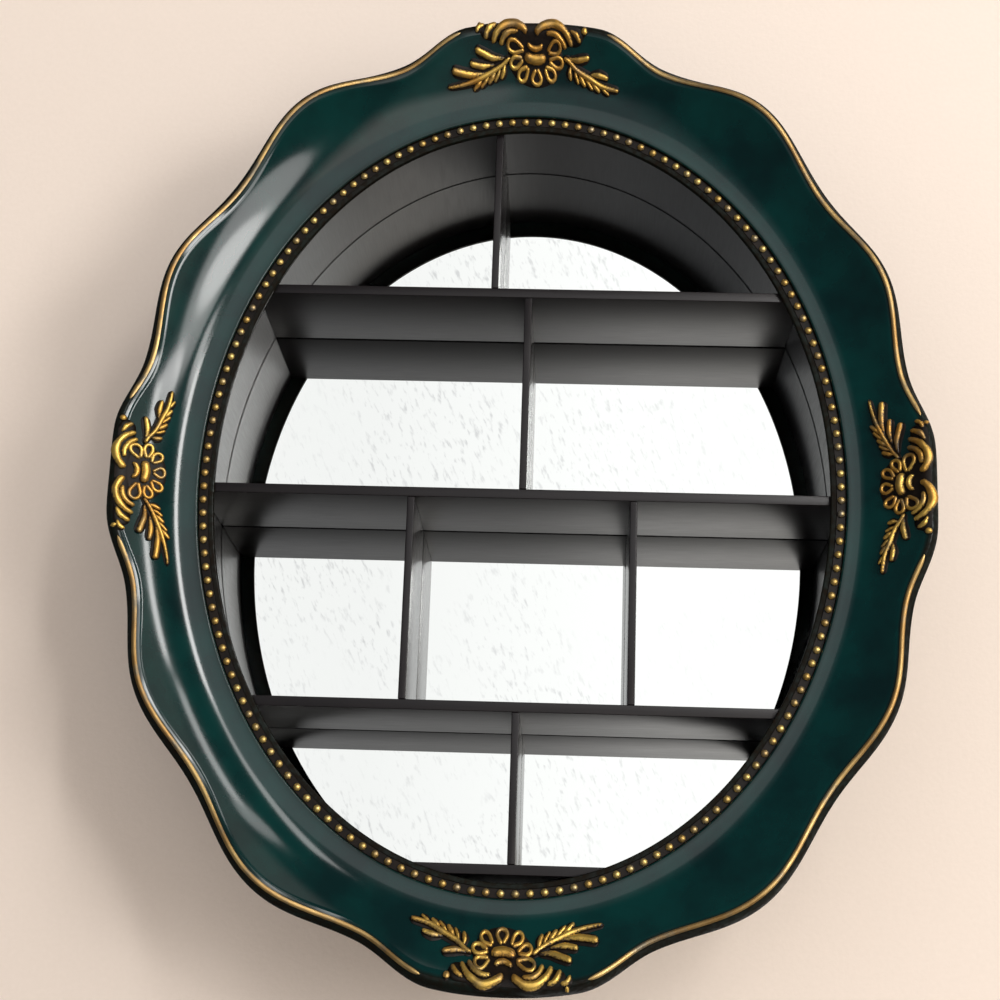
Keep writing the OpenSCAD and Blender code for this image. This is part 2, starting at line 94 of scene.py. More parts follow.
def makeLacquer():
    m, material = lacquerSet, newMaterial("sprayedGreenLacquer")
    cloud = addNode(material, "MapRange", (speckle(material, m["cloudMm"], 4), 0.35, 0.65))
    tones = {0: cloud, 6: toLinear(m["green"]), 7: toLinear(m["deep"])}
    green = addNode(material, "Mix", tones, data_type="RGBA").outputs[2]
    # brown glaze with painted shade: it darkens the groove by the beads, the step and the rolled rim
    glazeAndShade = addNode(material, "Attribute", attribute_name="glazeAndShade").outputs["Fac"]
    uneven = addNode(material, "MapRange", (speckle(material, m["glazeAndShadeMm"], 4), 0.3, 0.75, 0.8, 1.15))
    broken = addNode(material, "Math", (glazeAndShade, uneven), operation="MULTIPLY", use_clamp=True)
    glazedAndShaded = {0: broken, 6: green, 7: toLinear(m["glazeAndShade"])}
    colour = addNode(material, "Mix", glazedAndShaded, data_type="RGBA").outputs[2]
    # the coat thins to matt where the glaze and painted shade lie
    wet = addNode(material, "MapRange", (broken, 0.0, 0.9, 1.0, 0.08))  # the glaze dries matt
    wave = {"Height": speckle(material, m["peelMm"], 2), "Distance": m["peelDepthMm"] * mm}
    return finishMaterial(material, Base_Color=colour, Roughness=0.36, Normal=addNode(material, "Bump", wave),
                          Coat_Weight=wet, Coat_Roughness=0.1, Coat_IOR=1.52, Specular_IOR_Level=0.0)


# Bronze powder paint rubbed thin over dark brown: gold on the high places, brown in the hollows
giltSet = {"gold": "#f7cd68", "warm": "#d39d4a", "dull": "#a48c66", "patina": "#22150b"}
beadGiltSet = {"gold": "#efd080", "warm": "#cda860", "dull": "#9b9280", "patina": "#1a120c"}
lineGiltSet = {"gold": "#cfae72", "warm": "#a98450", "dull": "#8b7f6a", "patina": "#1f150d"}
giltGrain = {"warmMm": 26, "dullMm": 11, "roughMm": 2.5, "wearMm": 1.1, "brushMm": 0.8, "brushDepthMm": 0.06}


def makeGilt(name, wear, tones, bare, covered):
    # relief below bare shows the brown, relief above covered is all gold
    g, material = giltGrain, newMaterial(name)
    warm = addNode(material, "MapRange", (speckle(material, g["warmMm"], 2), 0.38, 0.62))
    golds = {0: warm, 6: toLinear(tones["gold"]), 7: toLinear(tones["warm"])}
    gold = addNode(material, "Mix", golds, data_type="RGBA").outputs[2]
    dull = addNode(material, "MapRange", (speckle(material, g["dullMm"], 3), 0.5, 0.72))
    golds = {0: dull, 6: gold, 7: toLinear(tones["dull"])}
    gold = addNode(material, "Mix", golds, data_type="RGBA").outputs[2]
    relief = addNode(material, "Attribute", attribute_name="relief").outputs["Fac"]
    scuffs = addNode(material, "MapRange", (speckle(material, g["wearMm"], 4), 0.3, 0.7, -wear, wear))
    worn = addNode(material, "Math", (relief, scuffs), operation="ADD")
    gilded = addNode(material, "MapRange", (worn, bare, covered))
    rubbed = {0: gilded, 6: toLinear(tones["patina"]), 7: gold}
    colour = addNode(material, "Mix", rubbed, data_type="RGBA").outputs[2]
    metal = addNode(material, "MapRange", (gilded, 0.0, 1.0, 0.0, 0.85))
    rough = addNode(material, "MapRange", (speckle(material, g["roughMm"]), 0.3, 0.7, 0.3, 0.46))
    marks = {"Height": speckle(material, g["brushMm"]), "Distance": g["brushDepthMm"] * mm}
    return finishMaterial(material, Base_Color=colour, Metallic=metal, Roughness=rough,
                          Normal=addNode(material, "Bump", marks))


# Dark brown size under the gilding, brushed on, satin
groundSet = {"dark": "#0f0a07", "light": "#1d130b", "cloudMm": 4, "brushMm": 1.5, "brushDepthMm": 0.05}


def makeGround():
    g, material = groundSet, newMaterial("brushedBrownSize")
    cloud = addNode(material, "MapRange", (speckle(material, g["cloudMm"], 4), 0.35, 0.65))
    browns = {0: cloud, 6: toLinear(g["dark"]), 7: toLinear(g["light"])}
    colour = addNode(material, "Mix", browns, data_type="RGBA").outputs[2]
    marks = {"Height": speckle(material, g["brushMm"]), "Distance": g["brushDepthMm"] * mm}
    brushed = addNode(material, "Bump", marks)
    return finishMaterial(material, Base_Color=colour, Roughness=0.48, Normal=brushed, Specular_IOR_Level=0.25)


# Thin board stained near black and sealed with satin lacquer: fine grain, soft sheen
stainSet = {"stain": "#141113", "light": "#1f1a1b", "cloudMm": 45, "grainMm": 0.9, "alongGrain": 0.04,
            "poreMm": 0.02}


def makeStain(name, along, smooth=0.3):
    # along is the axis of the grain
    s, material = stainSet, newMaterial(name)
    stretch = tuple(s["alongGrain"] if i == along else 1.0 for i in range(3))
    grain = speckle(material, s["grainMm"], 4, 0.6, stretch)
    streaks = addNode(material, "MapRange", (grain, 0.35, 0.7, 0.0, 0.6))
    clouds = addNode(material, "MapRange", (speckle(material, s["cloudMm"]), 0.3, 0.7, 0.0, 0.4))
    lighter = addNode(material, "Math", (streaks, clouds), operation="ADD", use_clamp=True)
    stains = {0: lighter, 6: toLinear(s["stain"]), 7: toLinear(s["light"])}
    colour = addNode(material, "Mix", stains, data_type="RGBA").outputs[2]
    rough = addNode(material, "MapRange", (grain, 0.3, 0.7, smooth, smooth + 0.08))
    pores = addNode(material, "Bump", {"Height": grain, "Distance": s["poreMm"] * mm})
    return finishMaterial(material, Base_Color=colour, Roughness=rough, Normal=pores, Specular_IOR_Level=0.4)


# Float glass silvered at the back: a clear, colourless reflection with the faintest haze
mirrorTone = {"silver": "#f4f6f4", "hazeMm": 60, "haziest": 0.006}


def makeMirror():
    material = newMaterial("silveredGlass")
    haze = (speckle(material, mirrorTone["hazeMm"], 2), 0.4, 0.7, 0.0, mirrorTone["haziest"])
    return finishMaterial(material, Base_Color=toLinear(mirrorTone["silver"]), Metallic=1.0,
                          Roughness=addNode(material, "MapRange", haze))


# Hardboard, pressed and unfinished: mottled brown fibre
fibreSet = {"brown": "#6b4a2c", "pale": "#94703f", "stain": "#5a3d24", "fibreMm": 1.4, "stainMm": 70,
            "depthMm": 0.08}


def makeBoard():
    f, material = fibreSet, newMaterial("pressedHardboard")
    fibre = speckle(material, f["fibreMm"], 5, 0.7)
    mottled = addNode(material, "MapRange", (fibre, 0.3, 0.7))
    browns = {0: mottled, 6: toLinear(f["brown"]), 7: toLinear(f["pale"])}
    brown = addNode(material, "Mix", browns, data_type="RGBA").outputs[2]
    stained = addNode(material, "MapRange", (speckle(material, f["stainMm"], 2), 0.4, 0.7, 0.0, 0.35))
    browns = {0: stained, 6: brown, 7: toLinear(f["stain"])}
    colour = addNode(material, "Mix", browns, data_type="RGBA").outputs[2]
    felt = addNode(material, "Bump", {"Height": fibre, "Distance": f["depthMm"] * mm})
    return finishMaterial(material, Base_Color=colour, Roughness=0.72, Normal=felt)


# Mild steel, stamped and bright zinc plated: cool grey with a fine spangle
zincSet = {"grey": "#a4a6a2", "bright": "#c0c2c0", "spangleMm": 1.6, "grainMm": 0.7, "depthMm": 0.01}


def makeZinc():
    z, material = zincSet, newMaterial("zincPlatedSteel")
    place = addNode(material, "TexCoord").outputs["Object"]
    cells = addNode(material, "TexVoronoi", {"Vector": place, "Scale": 1 / (z["spangleMm"] * mm)})
    shade = addNode(material, "SeparateColor", (cells.outputs["Color"],))
    greys = {0: shade, 6: toLinear(z["grey"]), 7: toLinear(z["bright"])}
    colour = addNode(material, "Mix", greys, data_type="RGBA").outputs[2]
    rough = addNode(material, "MapRange", (shade, 0.0, 1.0, 0.28, 0.4))
    grain = {"Height": speckle(material, z["grainMm"], 2), "Distance": z["depthMm"] * mm}
    return finishMaterial(material, Base_Color=colour, Metallic=1.0, Roughness=rough,
                          Normal=addNode(material, "Bump", grain))


lacquer = makeLacquer()
gilt = makeGilt("rubbedGilt", 0.26, giltSet, 0.4, 0.8)
giltLine = makeGilt("paintedGiltLine", 0.3, lineGiltSet, 0.3, 0.55)
giltBead = makeGilt("wornGiltBead", 0.26, beadGiltSet, 0.22, 0.5)
ground = makeGround()
stainAcross = makeStain("stainedShelfBoard", 0)
stainUpright = makeStain("stainedDividerBoard", 2, 0.2)
stainCase = makeStain("stainedCaseWall", 1)
silver = makeMirror()
hardboard = makeBoard()
zinc = makeZinc()
print("materials made")


def keepPiece(name, bm, material, slotName, *replaced, smoothAngle=38):
    mesh = bpy.data.meshes.new(name)
    bm.to_mesh(mesh)
    bm.free()
    mesh.polygons.foreach_set("use_smooth", [True] * len(mesh.polygons))
    mesh.set_sharp_from_angle(angle=radians(smoothAngle))
    piece = bpy.data.objects.new(name, mesh)
    scene.collection.objects.link(piece)
    mesh.materials.append(material)
    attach(piece, "root")
    if replaced:
        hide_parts(*replaced)
    return piece


def onOval(angle, u, h):
    # u is the distance out from the sight edge, h the height in front of the case
    x, z = (shelf["openA"] + u) * cos(angle), (shelf["openB"] + u) * sin(angle)
    return Vector((x, -(shelf["caseDepth"] + h), z)) * mm


def smoothPath(points, steps):
    # a smooth line through the points, steps to a span
    line = []
    for k in range(len(points) - 1):
        p = [Vector(points[min(max(k + d, 0), len(points) - 1)]) for d in (-1, 0, 1, 2)]
        for i in range(steps):
            t = i / steps
            bend, twist = 2 * p[0] - 5 * p[1] + 4 * p[2] - p[3], 3 * p[1] - p[0] - 3 * p[2] + p[3]
            line.append(0.5 * (2 * p[1] + (p[2] - p[0]) * t + bend * t * t + twist * t ** 3))
    return line + [Vector(points[-1])]


def sweepRound(sectionAt, stations, shadeName=None, shadeAt=None):
    # a grid wrapped both ways: along it round the oval, across it round the closed section
    count = len(sectionAt(0.0))
    bm = bmesh.new()
    bmesh.ops.create_grid(bm, x_segments=stations, y_segments=count, size=0.5)
    shade = bm.verts.layers.float.new(shadeName) if shadeName else None
    sections = [sectionAt(2 * pi * k / stations) for k in range(stations)]
    for vert in bm.verts:
        k = round((vert.co.x + 0.5) * stations) % stations
        i = round((vert.co.y + 0.5) * count) % count
        angle, point = 2 * pi * k / stations, sections[k][i]
        vert.co = onOval(angle, point[0], point[1])
        if shade:
            vert[shade] = shadeAt(angle, point[0], i)
    bmesh.ops.remove_doubles(bm, verts=bm.verts, dist=1e-7)
    bmesh.ops.recalc_face_normals(bm, faces=bm.faces)
    return bm


# The scalloped moulding: lip, bead channel, step, scoop, crown and rolled rim, hollow behind
moulding = {"stations": 540, "reach": 60.6, "lip": 3.4, "step": 6.0, "crest": 29.0, "rim": 18.0,
            "giltInset": 5.5, "seat": 28.0, "shell": 5.0, "scoopStart": 12.0, "scoopPower": 1.6, "scoopSteps": 22,
            "crownWidth": 9.0, "dip": 1.2}
# a quarter of the rim: place round the oval in degrees, and extra reach there
rimKnots = ((0, 0), (5, 0.5), (14.5, -7.8), (27, 0.5), (39.5, -6.5), (54.5, 3.6), (69.5, -6.5), (80.5, 4.0),
            (90, 3.6))
lip, step, rim = (moulding[name] for name in ("lip", "step", "rim"))
# lip, bead channel and step: distance out from the sight edge, and height
lipProfile = [(0, 0), (0, lip - 0.9), (0.3, lip - 0.25), (0.9, lip), (3.1, lip), (3.1, lip - 1.4), (9.1, lip - 1.4),
              (9.1, step - 1.1), (9.3, step - 0.5), (9.8, step - 0.1), (10.5, step)]
lipCount = len(lipProfile)
# the lip's first points carry the glaze and painted shade
lipGlazedAndShaded = 8  # points of the lip that the glaze covers
# crown and rolled rim: distance in from the rim, and drop below the crest
crownProfile = [(7.2, 0.5), (5.5, -0.1), (3.6, 0.5), (1.6, 3.2)]
rollIn = 0.35
# rolled edge and hollow back below the rim: distance in from the rim, and height
edgeProfile = [(0.25, rim * 0.75), (0.8, rim / 2), (1.5, 4.2), (2.4, 0.4), (2.8, 0), (7.4, 0), (6.4, rim - 3)]
# strength of the brown glaze and painted shade in the groove, on the step and over the rim, where the rim's part
# starts and how it fades in
glazeAndShadeSet = {"groove": 0.9, "step": 0.25, "rim": 0.85, "rimFrom": 8.6, "fade": 2.4}


def reachAt(angle):
    q = degrees(asin(min(1.0, abs(sin(angle)))))
    k = max(i for i in range(len(rimKnots) - 1) if rimKnots[i][0] <= q + 0.001)
    (q0, r0), (q1, r1) = rimKnots[k], rimKnots[k + 1]
    return moulding["reach"] + r0 + (r1 - r0) * (1 - cos(pi * (q - q0) / (q1 - q0))) / 2


def scoopAt(u):
    m = moulding
    share = (u - m["scoopStart"]) / (m["reach"] - m["crownWidth"] - m["scoopStart"])
    return m["step"] + (m["crest"] - m["dip"] - m["step"]) * max(0.0, share) ** m["scoopPower"]


def crestAt(reach):
    # the rim cuts the even scoop, so its crest is lower at the notches
    return scoopAt(reach - moulding["crownWidth"]) + moulding["dip"]


def frontSection(angle):
    m, reach = moulding, reachAt(angle)
    top, crest = reach - m["crownWidth"], crestAt(reach)
    start, steps = m["scoopStart"], m["scoopSteps"]
    places = [start + (top - start) * i / steps for i in range(steps + 1)]
    scoop = [(u, scoopAt(u)) for u in places]
    crown = [(top, crest - m["dip"])] + [(reach - inward, crest - drop) for inward, drop in crownProfile]
    crown += [(reach - rollIn, (crest - crownProfile[-1][1] + rim) / 2), (reach, rim)]
    return lipProfile + scoop + [tuple(p) for p in smoothPath(crown, 4)[1:]]


def mouldingSection(angle):
    m, reach = moulding, reachAt(angle)
    seat, shell = m["seat"], m["shell"]
    mid = (seat + reach - m["crownWidth"] - shell) / 2
    edge = [(reach - inward, height) for inward, height in edgeProfile]
    hollow = [(reach - m["crownWidth"], crestAt(reach) - shell - 2.5), (mid, scoopAt(mid) - shell),
              (seat + 0.5, scoopAt(seat) - shell), (seat, 0)]
    return frontSection(angle) + edge + hollow


def glazeAndShadeAt(angle, u, i):
    # brown glaze with painted shade, darkest in the groove by the beads and over the rolled rim
    g = glazeAndShadeSet
    if i < lipCount:
        return g["groove"] if i < lipGlazedAndShaded else g["step"]
    return g["rim"] * min(1.0, max(0.0, (u - (reachAt(angle) - g["rimFrom"])) / g["fade"]))


sectionCache = {}


def outFrom(x, z):
    # distance out from the sight edge and place round it, for a point x, z in millimetres: it starts from
    # mid moulding and closes in by Newton's steps
    u = 40.0
    for _ in range(4):
        a, b = shelf["openA"] + u, shelf["openB"] + u
        q = sqrt(x * x / a / a + z * z / b / b)
        u += (q - 1) * q / (x * x / a ** 3 + z * z / b ** 3)
    return u, atan2(z / (shelf["openB"] + u), x / (shelf["openA"] + u))


def frontHeight(x, z):
    # height of the moulding's front over the case; sections are kept for each quarter of a degree
    u, angle = outFrom(x, z)
    key = round(degrees(angle) * 4)
    if key not in sectionCache:
        sectionCache[key] = frontSection(radians(key / 4))[lipCount - 1:]
    line = sectionCache[key]
    for k in range(len(line) - 1):
        if u <= line[k + 1][0]:
            (u0, h0), (u1, h1) = line[k], line[k + 1]
            return h0 + (h1 - h0) * (u - u0) / max(u1 - u0, 1e-6)
    return line[-1][1]


mouldingMesh = sweepRound(mouldingSection, moulding["stations"], "glazeAndShade", glazeAndShadeAt)
keepPiece("frameMoulding", mouldingMesh, lacquer, "green_lacquer", "frame_moulding")


def addRidge(bm, steps, around, placeAt):
    # a closed ridge: placeAt gives the point and relief at a share of its length and a turn round it
    shade = bm.verts.layers.float.get("relief") or bm.verts.layers.float.new("relief")
    made = bmesh.ops.create_uvsphere(bm, u_segments=around, v_segments=steps, radius=1.0)
    for vert in made["verts"]:
        share, turn = acos(max(-1.0, min(1.0, vert.co.z))) / pi, atan2(vert.co.y, vert.co.x)
        vert.co, vert[shade] = placeAt(share, turn)


# The gilt line: four painted beads on the crown, stopping short of each ornament
giltLineSet = {"fromSide": 8.4, "fromEnd": 10.8, "steps": 150, "around": 10, "halfWidth": 1.5, "rise": 0.75,
               "under": 0.6, "tapers": 60, "lift": 0.1, "sunk": 0.12}


def buildGiltLine():
    bm = bmesh.new()
    g = giltLineSet
    quarter = (g["fromSide"], 90 - g["fromEnd"])
    spans = [quarter, (180 - quarter[1], 180 - quarter[0]), (180 + quarter[0], 180 + quarter[1]),
             (360 - quarter[1], 360 - quarter[0])]
    for first, last in spans:
        def placeAt(share, turn):
            angle = radians(first + (last - first) * share)
            taper = min(1.0, sqrt(min(share, 1 - share) * g["tapers"] + 1e-9))
            reach = reachAt(angle)
            u = reach - moulding["giltInset"] + g["halfWidth"] * taper * cos(turn)
            rise = g["rise"] * taper * sin(turn) * (1 if sin(turn) > 0 else g["under"])
            h = crestAt(reach) + g["lift"] - g["sunk"] * cos(turn) ** 2 + rise
            return onOval(angle, u, h), 0.5 + 0.5 * sin(turn)
        addRidge(bm, g["steps"], g["around"], placeAt)
    bmesh.ops.recalc_face_normals(bm, faces=bm.faces)
    keepPiece("gildedLine", bm, giltLine, "antique_gilt")


buildGiltLine()

# The beads: domes on a thin strip let into the channel
beadSet = {"count": 160, "radius": 2.45, "inset": 6.1, "lift": 0.02, "wear": 1.3, "steps": 6, "around": 12,
           "stripWidth": 5.6, "stripT": 1.4, "stripEdge": 0.25, "stations": 360}


def stripSection():
    b, high = beadSet, moulding["lip"]
    near, far = b["inset"] - b["stripWidth"] / 2, b["inset"] + b["stripWidth"] / 2
    low, edge = high - b["stripT"], b["stripEdge"]
    return [(near, low), (near, high - edge), (near + edge, high), (far - edge, high), (far, high - edge),
            (far, low)]


def buildBeads():
    b, section = beadSet, stripSection()
    strip = sweepRound(lambda angle: section, b["stations"])
    keepPiece("beadStrip", strip, ground, "brown_ground", "bead_strip")
    bm = bmesh.new()
    a, c = shelf["openA"] + b["inset"], shelf["openB"] + b["inset"]
    swing = (c * c - a * a) / (c * c + a * a) / 4  # evens the spacing round the oval
    for k in range(b["count"]):
        t = 2 * pi * (k + 0.5) / b["count"]
        centre = onOval(t - swing * sin(2 * t), b["inset"], moulding["lip"] + b["lift"]) / mm

        def placeAt(share, turn):
            # a dome, its pole forward
            r, rise = b["radius"] * sin(share * pi / 2), b["radius"] * cos(share * pi / 2)
            point = Vector((centre[0] + r * cos(turn), centre[1] - rise, centre[2] + r * sin(turn)))
            return point * mm, (rise / b["radius"]) ** b["wear"]
        addRidge(bm, b["steps"], b["around"], placeAt)
    bmesh.ops.recalc_face_normals(bm, faces=bm.faces)
    keepPiece("beadDomes", bm, giltBead, "antique_gilt", "beads")


buildBeads()

# One cast ornament, used four times; s runs along the rim and t outwards from the flower's centre
ornamentSet = {"fromRim": 20.1, "fromEdge": 2.4, "margin": 1.35, "lift": 0.6, "groundLift": 0.1,
               "groundRise": 0.75, "petalRidge": 1.2, "petalRise": 1.9, "broader": 1.12, "underside": 0.45,
               "roundEnd": 1.2, "plate": (17.5, 12.4), "plateAt": (-1, -0.4), "plateUnder": 0.3,
               "apart": 0.03, "petalGround": 0.2, "plateGround": 0.25, "bandGround": 0.3}
# how each was bent on: turn, shift along the rim and outwards, stretch outwards and inwards, droop, extra seat
ornamentPlaces = {"Right": (0, -0.8, 0.0, 1.0, 1.0, 0.0, 0.0), "Top": (90, 2.2, 3.0, 1.1, 1.3, 0.07, 0.3),
                  "Left": (180, 0.0, 0.0, 1.0, 1.0, 0.0, 0.0), "Bottom": (270, 1.9, 1.2, 1.15, 1.3, 0.07, 0.1)}
# each stroke: points, half width, height, and its fullness at the root, middle and end
flowerStrokes = [
    ([(-8.2, 0.6), (-4.6, -0.5), (-1, -0.9), (2.6, -0.5), (6.2, 0.6)], 2.4, 4.0, (0.9, 1, 0.9)),
    ([(-6, 6.5), (-4.3, 4.5), (-1.2, 3.7), (1.9, 4.5), (3.6, 6.5)], 1.5, 3.0, (0.8, 1, 0.8)),
]
scrollStrokes = [
    ([(-6, 10.2), (-10, 12.4), (-15, 13.5), (-21, 12.2), (-26, 8.4), (-28.4, 3.4)], 1.75, 3.2, (1, 1, 0.85)),
    ([(-11.5, 10.4), (-17.5, 9.9), (-21.5, 7.2), (-23.3, 3)], 1.45, 2.7, (0.7, 1, 0.95)),
    ([(-25.5, 12.4), (-30.6, 9.8), (-33.4, 4.8)], 1.45, 2.6, (0.6, 1, 0.95)),
    ([(-33, 11.2), (-36.8, 9.8), (-38.8, 6.8)], 1.2, 2.0, (0.6, 1, 0.8)),
    ([(-1.8, 10.2), (2, 12.8), (6, 14.4), (11, 15), (17, 12.6), (20.6, 9), (22.3, 5.4)], 1.8, 3.2, (1, 1, 0.8)),
    ([(5.2, 10.6), (10.5, 10.9), (15.5, 8.6), (18.6, 4.4)], 1.4, 2.7, (0.7, 1, 0.9)),
    ([(20.6, 12.8), (24.8, 10.8), (27.6, 7.4)], 1.3, 2.2, (0.6, 1, 0.9)),
    ([(27.8, 12.9), (31.8, 12.1)], 1.7, 1.7, (1, 1, 1)),
    ([(-35.4, 12.9), (-38, 12.2)], 1.5, 1.6, (1, 1, 1)),
]
frondStrokes = [
    ([(16.6, 0.8), (20.5, -0.6), (26, -4.2), (34.8, -7.6), (42, -10.4), (53, -12.2)], 1.4, 2.9, (0.75, 1, 0.7)),
    ([(19, 0.6), (26, 0), (33.8, 1.4)], 1.5, 2.5, (0.36, 1, 0.85)),
    ([(33, -5.6), (40, -5.9), (46, -7.2)], 1.35, 2.2, (0.36, 1, 0.75)),
    ([(22, -1.8), (21.2, -5), (22.2, -8.8)], 1.35, 2.2, (0.4, 1, 0.8)),
    ([(26.5, -4), (28.6, -7.4), (31.6, -11)], 1.35, 2.2, (0.4, 1, 0.8)),
    ([(34.4, -7), (37, -10), (41, -13)], 1.3, 2.1, (0.4, 1, 0.75)),
    ([(-16.6, -0.8), (-22.7, -5), (-31.5, -9.4), (-41.5, -13.6), (-51, -16.4), (-57, -17.6)], 1.35, 2.8,
     (0.7, 1, 0.55)),
    ([(-20, -1.8), (-27.8, -2.4), (-34, -1.2), (-39.6, 0)], 1.6, 2.6, (0.36, 0.95, 0.95)),
    ([(-26.5, -4.9), (-35, -6.4), (-43, -6)], 1.45, 2.4, (0.36, 0.95, 0.85)),
    ([(-31, -8.8), (-42, -10.6), (-54.4, -10.2)], 1.7, 2.7, (0.34, 0.95, 0.95)),
    ([(-20.2, -2.8), (-21, -7), (-22.8, -11)], 1.35, 2.2, (0.4, 1, 0.8)),
    ([(-25.6, -6.2), (-28, -10), (-31, -13.6)], 1.3, 2.1, (0.4, 1, 0.75)),
    ([(-33.4, -10.4), (-36.6, -13.6), (-40.4, -17.3)], 1.3, 2.1, (0.4, 1, 0.75)),
    # slim leaflets on the side of the opening
    ([(24.2, -2.8), (25.2, -6.4), (27.2, -10)], 1.0, 1.9, (0.45, 1, 0.8)),
    ([(30.4, -5.8), (33, -9), (36.4, -12.2)], 1.0, 1.9, (0.45, 1, 0.8)),
    ([(40, -9.4), (43, -11.8), (46.8, -14.2)], 0.95, 1.8, (0.45, 1, 0.75)),
    ([(-22.8, -4.6), (-24.4, -8.6), (-27, -12.4)], 1.0, 1.9, (0.45, 1, 0.8)),
    ([(-29.4, -8.4), (-32.2, -12), (-35.8, -15.6)], 1.0, 1.9, (0.45, 1, 0.8)),
]
# the band of ground behind the scrolls
groundBand = ([(-37, 8.6), (-24, 9.4), (-4, 10.4), (12, 10.4), (29.5, 9.8)], 4.8)
# each looped petal: start, end and half width; its outline in shares of these
petals = [((6.6, 2.6), (14.6, 6.4), 2.9), ((7.4, -1.0), (16.4, -1.8), 2.2), ((5.2, -3.6), (11.6, -8.4), 2.4),
          ((0.0, -4.4), (0.3, -11.2), 2.9), ((-5.2, -4.0), (-10.8, -9.8), 2.4), ((-8.6, -1.2), (-16.4, -4.0), 2.2),
          ((-8.0, 2.8), (-18.6, 4.4), 2.8)]
petalOutline = [(0.0, 0.0), (0.3, 0.58), (0.62, 1.0), (0.9, 0.74), (1.0, 0.0), (0.9, -0.74), (0.62, -1.0),
                (0.3, -0.58), (0.03, -0.06)]


def overFront(place, s, t, h):
    # point at height h over the moulding, for an ornament bent on at its place
    turnTo, shift, out, outward, inward, droop, seat = place
    c, d = round(cos(radians(turnTo))), round(sin(radians(turnTo)))
    s += shift
    far = (shelf["openA"] if c else shelf["openB"]) + moulding["reach"] - ornamentSet["fromRim"] + out
    far += t * (outward if t > 0 else inward) - droop * s
    u, angle = outFrom(s * d + far * c, far * d - s * c)
    far -= max(0.0, u + ornamentSet["fromEdge"] - reachAt(angle))  # no tip runs over the rolled rim
    x, z = s * d + far * c, far * d - s * c
    y = frontHeight(x, z)
    slope = Vector((frontHeight(x + 1, z) - y, 1.0, frontHeight(x, z + 1) - y)).normalized()
    return (Vector((x, -(shelf["caseDepth"] + y), z)) - slope * (h + seat)) * mm


def addStroke(bm, place, points, half, height, fullness, lift, steps, around):
    # a carved stroke along the points; its fullness runs along it, and both ends are rounded off
    o = ornamentSet
    line = smoothPath([Vector(p).to_2d() for p in points], 8)
    lengths = [0.0]
    for k in range(len(line) - 1):
        lengths.append(lengths[-1] + (line[k + 1] - line[k]).length)
    total = lengths[-1]
    root, middle, end = fullness

    def lineAt(share):
        want = share * total
        k = max(i for i in range(len(line) - 1) if lengths[i] <= want + 1e-9)
        part = (want - lengths[k]) / max(lengths[k + 1] - lengths[k], 1e-9)
        return line[k].lerp(line[k + 1], part), (line[k + 1] - line[k]).normalized()

    def placeAt(share, turn):
        p, ahead = lineAt(share)
        side = Vector((-ahead.y, ahead.x))
        first, second, part = (root, middle, share * 2) if share < 0.5 else (middle, end, share * 2 - 1)
        swell = first + (second - first) * part
        fromEnd = min(share, 1 - share) * total / (half * o["roundEnd"])
        swell *= sqrt(max(0.0, 1 - (1 - min(1.0, fromEnd)) ** 2))
        across, up = cos(turn) * half * swell, sin(turn)
        rise = lift + (height * swell * up if up > 0 else o["underside"] * up)
        q = p + side * across
        return overFront(place, q.x, q.y, rise), max(0.0, up) * swell
    addRidge(bm, steps, around, placeAt)


def addPlate(bm, place, centre, radii, rise, lift):
    # a thin oval plate that follows the moulding
    def placeAt(share, turn):
        out = 1 - abs(2 * share - 1)
        height = lift + rise * sqrt(1 - out ** 6) if share < 0.5 else lift - ornamentSet["plateUnder"]
        s, t = centre[0] + radii[0] * out * cos(turn), centre[1] + radii[1] * out * sin(turn)
        return overFront(place, s, t, height), 0.0
    addRidge(bm, 20, 40, placeAt)


def petalPath(start, end, half):
    start, along = Vector(start), Vector(end) - Vector(start)
    side = Vector((-along.y, along.x)).normalized()
    return [start + along * share + side * half * out for share, out in petalOutline]


def buildOrnament(name, place):
    o = ornamentSet
    rise, lift, margin = o["groundRise"], o["groundLift"], o["margin"]
    cast, base = bmesh.new(), bmesh.new()
    for n, (points, half, height, fullness) in enumerate(flowerStrokes + scrollStrokes + frondStrokes):
        steps = 16 + 3 * len(points)
        addStroke(cast, place, points, half * o["broader"], height, fullness, o["lift"], steps, 12)
        # small steps in height keep the grounds of crossing strokes apart
        addStroke(base, place, points, half + margin, rise + o["apart"] * (n % 7), fullness, lift, steps, 8)
    for start, end, half in petals:
        loop = petalPath(start, end, half)
        addStroke(cast, place, loop, o["petalRidge"], o["petalRise"], (1, 1, 1), o["lift"], 48, 10)
        addStroke(base, place, [start, end], half + margin, rise + o["petalGround"], (0.7, 1, 1), lift, 14, 8)
    addPlate(base, place, o["plateAt"], o["plate"], rise + o["plateGround"], lift)
    addStroke(base, place, *groundBand, rise + o["bandGround"], (1, 1, 1), lift, 40, 10)
    for bm in (cast, base):
        bmesh.ops.recalc_face_normals(bm, faces=bm.faces)
    keepPiece("ornamentCasting" + name, cast, gilt, "antique_gilt", "ornament_" + name.lower(), smoothAngle=80)
    keepPiece("ornamentGround" + name, base, ground, "brown_ground", smoothAngle=80)


for ornamentName, ornamentPlace in ornamentPlaces.items():
    buildOrnament(ornamentName, ornamentPlace)
print("frame, beads and ornaments made")


# The case: a bent wall behind the frame, with shelves and dividers let into it
wallSet = {"edge": 0.6, "stations": 480}


